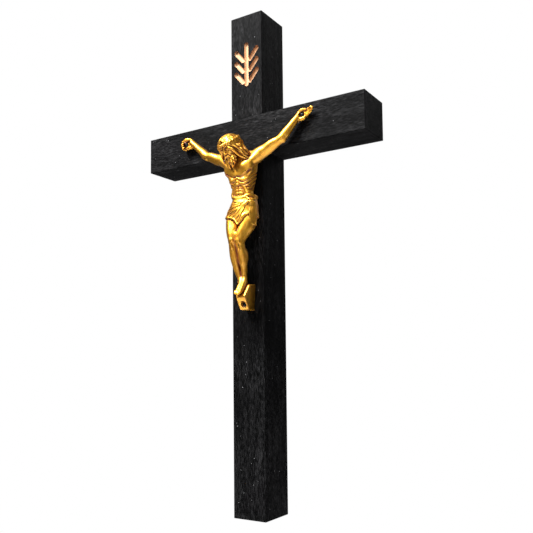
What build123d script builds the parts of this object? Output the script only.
"""A wooden crucifix for a wall: two square-edged beams joined by a half lap, a cast figure in three
pieces held to the cross by three dome-headed screws, and a keyhole hanger let into the back.

Frame: +Z up, the front faces -Y, the back face lies in the plane Y = 0, and the origin is the middle
of the crossing on that back face. Left and right are the figure's own, so its left is +X.
Millimetres throughout.
"""

from build123d import *
import os

os.makedirs("parts", exist_ok=True)

# Driving dimensions of the wood
FACE = 40.0  # width of the front face of both beams
DEPTH = 44.0  # front to back
HEIGHT = 540.0  # length of the upright
SPAN = 276.0  # length of the cross beam
CROSSING = 406.0  # from the lower end up to the middle of the cross beam
EASE = 0.8  # radius of the eased edges
LAP = DEPTH / 2  # each beam gives up half of its depth at the crossing

TOP = HEIGHT - CROSSING
BOTTOM = -CROSSING
FRONT = -DEPTH

# Routed leaf sprig above the crossing
GROOVE_R = 2.6  # radius of the round-nosed cutter
SPRIG_LOW = 57.0
SPRIG_HIGH = 100.5
LEAF_REACH = 13.2  # how far the leaves stand out from the stem
LEAF_RISE = 10.0
LEAF_GAP = 4.6  # between the stem's axis and a leaf's root
LEAF_ROOTS = (60.0, 72.0, 84.0)  # heights of the three pairs

# Screws that hold the figure: place on the front of the wood, and how far out the head sits
DOME_HEAD_R = 2.6
DOME_HEAD_H = 1.6
DOME_BULGE = (0.62 * DOME_HEAD_R, 0.72 * DOME_HEAD_H)  # a point on the dome between rim and top
RECESS_SPAN = 2.6  # cross recess in the screw heads
RECESS_WIDTH = 0.6
RECESS_DEPTH = 0.8
SCREW_R = 1.4
SCREW_CLEARANCE = 0.05
SCREW_INTO_WOOD = 16.0
LEFT_PALM = (71.4, 6.0)
RIGHT_PALM = (-78.6, 2.2)
FOOT_HOLE = (4.6, -183.6)
PALM_FACE = -49.5  # front of both palms, where the hand screws' heads bear
PALM_R = 5.4
BLOCK_SEAT = -57.0  # bottom of the foot block's counterbore
COUNTERBORE_R = 3.2

# Figure: joints of the limbs
SHOULDER_X = 19.5
SHOULDER_Y = -53.5
SHOULDER_Z = -30.0
SHOULDER_R = 6.6
HEAD_CLEARANCE = 0.2  # round a hand screw's head in its palm
ARM_SPLIT = 5.0  # along the upper arm, from the shoulder to the seam of the arm casting
SPIGOT_R = 2.2
SPIGOT_LENGTH = 5.0
SPIGOT_CLEARANCE = 0.05
SOCKET_SPARE = 0.5  # the socket is that much deeper than the spigot is long
ARM_ROOT_DEPTH = 16.5  # how far inside the chest the stub of an upper arm begins
ARM_ROOT_R = 7.2
ARM_STUB_R = 6.4
LEFT_ELBOW = (50.0, -52.5, -17.0)
LEFT_WRIST = (65.5, -49.5, 2.5)
RIGHT_ELBOW = (-47.0, -52.5, -17.0)
RIGHT_WRIST = (-66.0, -49.5, 0.0)
LEFT_FINGERTIP = (83.5, -48.0, 12.0)
RIGHT_FINGERTIP = (-85.0, -48.5, 4.0)
ELBOW_R = 4.7
WRIST_R = 3.2
FINGER_R = 2.5
KNEES = {"left": (5.0, -62.0, -123.0), "right": (-4.0, -62.5, -120.5)}
HIPS = {"left": (9.5, -57.0, -96.0), "right": (-8.5, -57.0, -96.0)}
ANKLES = {"left": (2.8, -53.0, -156.0), "right": (-1.2, -55.0, -156.0)}
TOES = {"left": (5.0, -64.5, -172.0), "right": (1.0, -65.0, -173.0)}
HIP_R = 9.0
KNEE_R = 6.0
ANKLE_R = 3.6
TOE_R = 2.6

# Torso and loincloth as ellipses: height, centre Y, half width, half depth
TORSO = (
    (-101.0, -56.5, 17.0, 10.4),
    (-95.0, -56.0, 19.3, 11.0),
    (-86.0, -55.8, 18.5, 10.8),
    (-75.0, -54.8, 15.0, 9.6),
    (-68.0, -54.0, 12.2, 8.2),
    (-60.0, -54.5, 13.3, 8.8),
    (-50.0, -55.3, 16.5, 10.3),
    (-39.0, -55.3, 18.5, 10.3),
    (-31.0, -54.5, 16.5, 9.0),
    (-25.5, -54.5, 9.0, 6.5),
)
NECK = (-1.0, -56.0, -26.0)
NECK_R = 6.0
NECK_TOP_R = 5.4
HEAD = (-4.5, -69.0, -21.5)
HEAD_R = 12.0
HEAD_HALF_LENGTH = 16.0
HEAD_LEAN = (-10.0, 24.0)  # degrees: sideways about Y, then forwards about X

# Foot block, as a side outline (Y, Z) that starts at the wood, and the X of its two sides
BLOCK_OUTLINE = (
    (FRONT, -162.0),
    (-55.5, -163.0),
    (-64.0, -176.0),
    (-56.0, -189.5),
    (FRONT, -189.5),
)
BLOCK_SIDES = (-2.2, 10.2)

# Lap screws, driven from behind on a diagonal of the crossing
LAP_SCREW_OFFSET = 10.0
LAP_SCREW_R = 1.75
LAP_SCREW_HEAD_R = 3.5
LAP_SCREW_LENGTH = 36.0
SUNK = 0.5  # how far a countersunk head lies below its face
SINK_CLEARANCE = 0.15  # between a countersunk head and its seat

# Keyhole hanger let into the back of the upper arm
HANGER_Z = 92.0
HANGER_LENGTH = 46.0
HANGER_WIDTH = 18.0
HANGER_THICK = 2.0
ENTRY_R = 5.0
ENTRY_Z = HANGER_Z - 5.0
SLOT_R = 2.5
SLOT_RISE = 10.0
POCKET_R = 6.5
POCKET_DEPTH = 9.0
HANGER_SCREW_SPREAD = 34.0
HANGER_SCREW_R = 1.25
HANGER_SCREW_HEAD_R = 2.6
HANGER_SCREW_LENGTH = 15.0


def behind(x, z):
    """The plane on the back face at x and z, facing out of the wood."""
    return Plane(origin=(x, 0, z), x_dir=(-1, 0, 0), z_dir=(0, 1, 0))


def before(x, z, y=FRONT):
    """The plane on a front face at x and z, facing out of the wood."""
    return Plane(origin=(x, y, z), x_dir=(1, 0, 0), z_dir=(0, -1, 0))


def limb(start, end, start_r, end_r):
    """Adds a tapered limb with round ends to the part being built."""
    axis = Vector(*end) - Vector(*start)
    with Locations(Plane(origin=start, z_dir=axis)):
        Cone(start_r, end_r, axis.length, align=(Align.CENTER, Align.CENTER, Align.MIN))
    with Locations(end):
        Sphere(end_r)


def write(part, name):
    part.label = name
    export_step(part, f"parts/{name}.step")


# --- Screws -------------------------------------------------------------------------------------
# Every screw is turned about Z with its head up and its seat at Z = 0, and is placed from there.
with BuildPart() as dome_screw:
    with BuildSketch(Plane.XZ):
        with BuildLine():
            ThreePointArc(
                (0, DOME_HEAD_H),
                DOME_BULGE,
                (DOME_HEAD_R, 0),
            )
            Polyline(
                (DOME_HEAD_R, 0),
                (SCREW_R, 0),
                (SCREW_R, -1),
                (0, -1),
                (0, DOME_HEAD_H),
            )
        make_face()
    revolve(axis=Axis.Z)
    for turn in (0, 90):
        with Locations(Location((0, 0, DOME_HEAD_H), (0, 0, turn + 45))):
            Box(RECESS_SPAN, RECESS_WIDTH, RECESS_DEPTH * 2, mode=Mode.SUBTRACT)


def countersunk(radius, head_radius, length):
    """A countersunk wood screw with a cross recess, its flat head's top at Z = 0."""
    cone_height = head_radius - radius
    tip = radius * 2
    with BuildPart() as screw:
        with BuildSketch(Plane.XZ):
            with BuildLine():
                Polyline(
                    (0, 0),
                    (head_radius, 0),
                    (radius, -cone_height),
                    (radius, tip - length),
                    (0, -length),
                    (0, 0),
                )
            make_face()
        revolve(axis=Axis.Z)
        for turn in (0, 90):
            with Locations(Location((0, 0, 0), (0, 0, turn + 45))):
                Box(head_radius, RECESS_WIDTH, RECESS_DEPTH * 2, mode=Mode.SUBTRACT)
    return screw.part


def figure_screw(place, seat):
    """A dome-headed screw through the casting at a seat, into the wood."""
    reach = SCREW_INTO_WOOD + (FRONT - seat)
    with BuildPart() as screw:
        with Locations(before(*place, seat)):
            add(dome_screw.part)
            Cylinder(SCREW_R, reach, align=(Align.CENTER, Align.CENTER, Align.MAX))
    return screw.part


# --- Upright ------------------------------------------------------------------------------------
with BuildPart() as upright_beam:
    with Locations((0, FRONT / 2, (TOP + BOTTOM) / 2)):
        Box(FACE, DEPTH, HEIGHT)
    fillet(upright_beam.edges(), EASE)
    # the front half is cut away for the cross beam
    with Locations((0, FRONT, 0)):
        Box(FACE, 2 * LAP, FACE, mode=Mode.SUBTRACT)
    # round-nosed grooves of the leaf sprig: a stem, then pairs of leaves that rise from it
    strokes = [((0, SPRIG_LOW), (0, SPRIG_HIGH))]
    for root in LEAF_ROOTS:
        for way in (-1, 1):
            strokes.append(
                ((way * LEAF_GAP, root), (way * LEAF_REACH, root + LEAF_RISE))
            )
    for (x0, z0), (x1, z1) in strokes:
        along = Vector(x1 - x0, 0, z1 - z0)
        with Locations(Plane(origin=(x0, FRONT, z0), z_dir=along)):
            Cylinder(
                GROOVE_R,
                along.length,
                align=(Align.CENTER, Align.CENTER, Align.MIN),
                mode=Mode.SUBTRACT,
            )
        with Locations((x0, FRONT, z0), (x1, FRONT, z1)):
            Sphere(GROOVE_R, mode=Mode.SUBTRACT)
    # recess for the hanger plate, with a deeper pocket for the head of the wall screw
    with BuildSketch(behind(0, HANGER_Z)):
        Rectangle(HANGER_WIDTH, HANGER_LENGTH)
        fillet(vertices(), HANGER_WIDTH / 4)
    extrude(amount=-HANGER_THICK, mode=Mode.SUBTRACT)
    with BuildSketch(behind(0, ENTRY_Z + SLOT_RISE / 2)):
        SlotCenterToCenter(SLOT_RISE, 2 * POCKET_R, rotation=90)
    extrude(amount=-POCKET_DEPTH, mode=Mode.SUBTRACT)
    # pilot holes
    with Locations(
        behind(0, HANGER_Z + HANGER_SCREW_SPREAD / 2),
        behind(0, HANGER_Z - HANGER_SCREW_SPREAD / 2),
    ):
        Hole(HANGER_SCREW_R + SCREW_CLEARANCE, HANGER_SCREW_LENGTH + 1)
    with Locations(before(*FOOT_HOLE)):
        Hole(SCREW_R + SCREW_CLEARANCE, SCREW_INTO_WOOD + 1)
    with Locations(
        behind(LAP_SCREW_OFFSET, LAP_SCREW_OFFSET),
        behind(-LAP_SCREW_OFFSET, -LAP_SCREW_OFFSET),
    ):
        CounterSinkHole(
            LAP_SCREW_R + SCREW_CLEARANCE,
            LAP_SCREW_HEAD_R + SUNK + SINK_CLEARANCE,
            DEPTH,
            counter_sink_angle=90,
        )
write(upright_beam.part, "upright_beam")

# --- Cross beam ---------------------------------------------------------------------------------
with BuildPart() as cross_beam:
    with Locations((0, FRONT / 2, 0)):
        Box(SPAN, DEPTH, FACE)
    fillet(cross_beam.edges(), EASE)
    # the back half is cut away for the upright
    with Locations((0, 0, 0)):
        Box(FACE, 2 * LAP, FACE, mode=Mode.SUBTRACT)
    with Locations(before(*LEFT_PALM), before(*RIGHT_PALM)):
        Hole(SCREW_R + SCREW_CLEARANCE, SCREW_INTO_WOOD + 1)
    with Locations(
        behind(LAP_SCREW_OFFSET, LAP_SCREW_OFFSET),
        behind(-LAP_SCREW_OFFSET, -LAP_SCREW_OFFSET),
    ):
        Hole(LAP_SCREW_R + SCREW_CLEARANCE, LAP_SCREW_LENGTH + 1)
write(cross_beam.part, "cross_beam")

# --- Lap screws ---------------------------------------------------------------------------------
lap_screw = countersunk(LAP_SCREW_R, LAP_SCREW_HEAD_R, LAP_SCREW_LENGTH - SUNK)
with BuildPart() as lap_screws:
    with Locations(
        behind(LAP_SCREW_OFFSET, LAP_SCREW_OFFSET).offset(-SUNK),
        behind(-LAP_SCREW_OFFSET, -LAP_SCREW_OFFSET).offset(-SUNK),
    ):
        add(lap_screw)
write(lap_screws.part, "lap_screws")

# --- Hanger -------------------------------------------------------------------------------------
with BuildPart() as hanger_plate:
    with BuildSketch(behind(0, HANGER_Z)):
        Rectangle(HANGER_WIDTH, HANGER_LENGTH)
        fillet(vertices(), HANGER_WIDTH / 4)
    extrude(amount=-HANGER_THICK)
    with Locations(behind(0, ENTRY_Z)):
        Hole(ENTRY_R, HANGER_THICK)
    with BuildSketch(behind(0, ENTRY_Z + SLOT_RISE / 2)):
        SlotCenterToCenter(SLOT_RISE, 2 * SLOT_R, rotation=90)
    extrude(amount=-HANGER_THICK, mode=Mode.SUBTRACT)
    with Locations(
        behind(0, HANGER_Z + HANGER_SCREW_SPREAD / 2),
        behind(0, HANGER_Z - HANGER_SCREW_SPREAD / 2),
    ):
        CounterSinkHole(
            HANGER_SCREW_R + SCREW_CLEARANCE,
            HANGER_SCREW_HEAD_R + SINK_CLEARANCE,
            HANGER_THICK,
            counter_sink_angle=90,
        )
write(hanger_plate.part, "hanger_plate")

hanger_screw = countersunk(HANGER_SCREW_R, HANGER_SCREW_HEAD_R, HANGER_SCREW_LENGTH)
with BuildPart() as hanger_screws:
    with Locations(
        behind(0, HANGER_Z + HANGER_SCREW_SPREAD / 2),
        behind(0, HANGER_Z - HANGER_SCREW_SPREAD / 2),
    ):
        add(hanger_screw)
write(hanger_screws.part, "hanger_screws")

# --- Figure's body: head, torso, loincloth, legs and foot block in one casting -------------------
SHOULDERS = {
    "left": (SHOULDER_X, SHOULDER_Y, SHOULDER_Z),
    "right": (-SHOULDER_X, SHOULDER_Y, SHOULDER_Z),
}
ELBOWS = {"left": LEFT_ELBOW, "right": RIGHT_ELBOW}


def seam(side):
    """The plane where an arm casting meets the body, facing out along the upper arm."""
    shoulder = Vector(*SHOULDERS[side])
    along = (Vector(*ELBOWS[side]) - shoulder).normalized()
    return Plane(origin=shoulder + along * ARM_SPLIT, z_dir=along)


with BuildPart() as head:
    with BuildSketch(Plane.XZ):
        Ellipse(HEAD_R, HEAD_HALF_LENGTH)
        with Locations((-HEAD_R, 0)):
            Rectangle(2 * HEAD_R, 3 * HEAD_HALF_LENGTH, mode=Mode.SUBTRACT)
    revolve(axis=Axis.Z)

with BuildPart() as figure_body:
    for z, y, half_width, half_depth in TORSO:
        with BuildSketch(Plane.XY.offset(z)):
            with Locations((0, y)):
                Ellipse(half_width, half_depth)
    loft()
    limb(NECK, HEAD, NECK_R, NECK_TOP_R)
    with Locations(Location(HEAD, (HEAD_LEAN[1], HEAD_LEAN[0], 0))):
        add(head.part)
    for side in ("left", "right"):
        limb(HIPS[side], KNEES[side], HIP_R, KNEE_R)
        limb(KNEES[side], ANKLES[side], KNEE_R, ANKLE_R)
        limb(ANKLES[side], TOES[side], ANKLE_R, TOE_R)
        chest = seam(side).offset(-ARM_ROOT_DEPTH).origin
        past_seam = seam(side).offset(SHOULDER_R).origin
        limb(tuple(chest), tuple(past_seam), ARM_ROOT_R, ARM_STUB_R)
        split(bisect_by=seam(side), keep=Keep.BOTTOM)
        with Locations(seam(side)):
            Hole(SPIGOT_R + SPIGOT_CLEARANCE, SPIGOT_LENGTH + SOCKET_SPARE)
    with BuildSketch(Plane.YZ.offset(BLOCK_SIDES[0])):
        with BuildLine():
            Polyline(*BLOCK_OUTLINE, close=True)
        make_face()
    extrude(amount=BLOCK_SIDES[1] - BLOCK_SIDES[0])
    with Locations(before(*FOOT_HOLE, BLOCK_SEAT)):
        Cylinder(
            COUNTERBORE_R,
            DEPTH,
            align=(Align.CENTER, Align.CENTER, Align.MIN),
            mode=Mode.SUBTRACT,
        )
        Hole(SCREW_R + SCREW_CLEARANCE, DEPTH)
write(figure_body.part, "figure_body")

# --- Arms ---------------------------------------------------------------------------------------


def arm(side, elbow, wrist, palm, fingertip):
    """An arm casting: spigot, upper arm, forearm, a flat-backed palm and the closed fingers."""
    root = seam(side)
    palm_thick = FRONT - PALM_FACE
    with BuildPart() as casting:
        with Locations(root):
            Cylinder(
                SPIGOT_R,
                SPIGOT_LENGTH,
                align=(Align.CENTER, Align.CENTER, Align.MAX),
            )
        limb(tuple(root.origin), elbow, SHOULDER_R, ELBOW_R)
        limb(elbow, wrist, ELBOW_R, WRIST_R)
        with Locations(before(*palm)):
            Cylinder(
                PALM_R, palm_thick, align=(Align.CENTER, Align.CENTER, Align.MIN)
            )
        middle = (palm[0], (FRONT + PALM_FACE) / 2, palm[1])
        limb(wrist, middle, WRIST_R, palm_thick / 2)
        limb(middle, fingertip, palm_thick / 2, FINGER_R)
        with Locations(before(*palm, PALM_FACE)):
            Cylinder(
                DOME_HEAD_R + HEAD_CLEARANCE,
                DOME_HEAD_H,
                align=(Align.CENTER, Align.CENTER, Align.MIN),
                mode=Mode.SUBTRACT,
            )
            Hole(SCREW_R + SCREW_CLEARANCE, DEPTH)
    return casting.part


write(
    arm("left", LEFT_ELBOW, LEFT_WRIST, LEFT_PALM, LEFT_FINGERTIP),
    "figure_left_arm",
)
write(
    arm("right", RIGHT_ELBOW, RIGHT_WRIST, RIGHT_PALM, RIGHT_FINGERTIP),
    "figure_right_arm",
)

# --- Screws through the hands and the foot block -------------------------------------------------
write(figure_screw(LEFT_PALM, PALM_FACE), "left_hand_screw")
write(figure_screw(RIGHT_PALM, PALM_FACE), "right_hand_screw")
write(figure_screw(FOOT_HOLE, BLOCK_SEAT), "foot_screw")
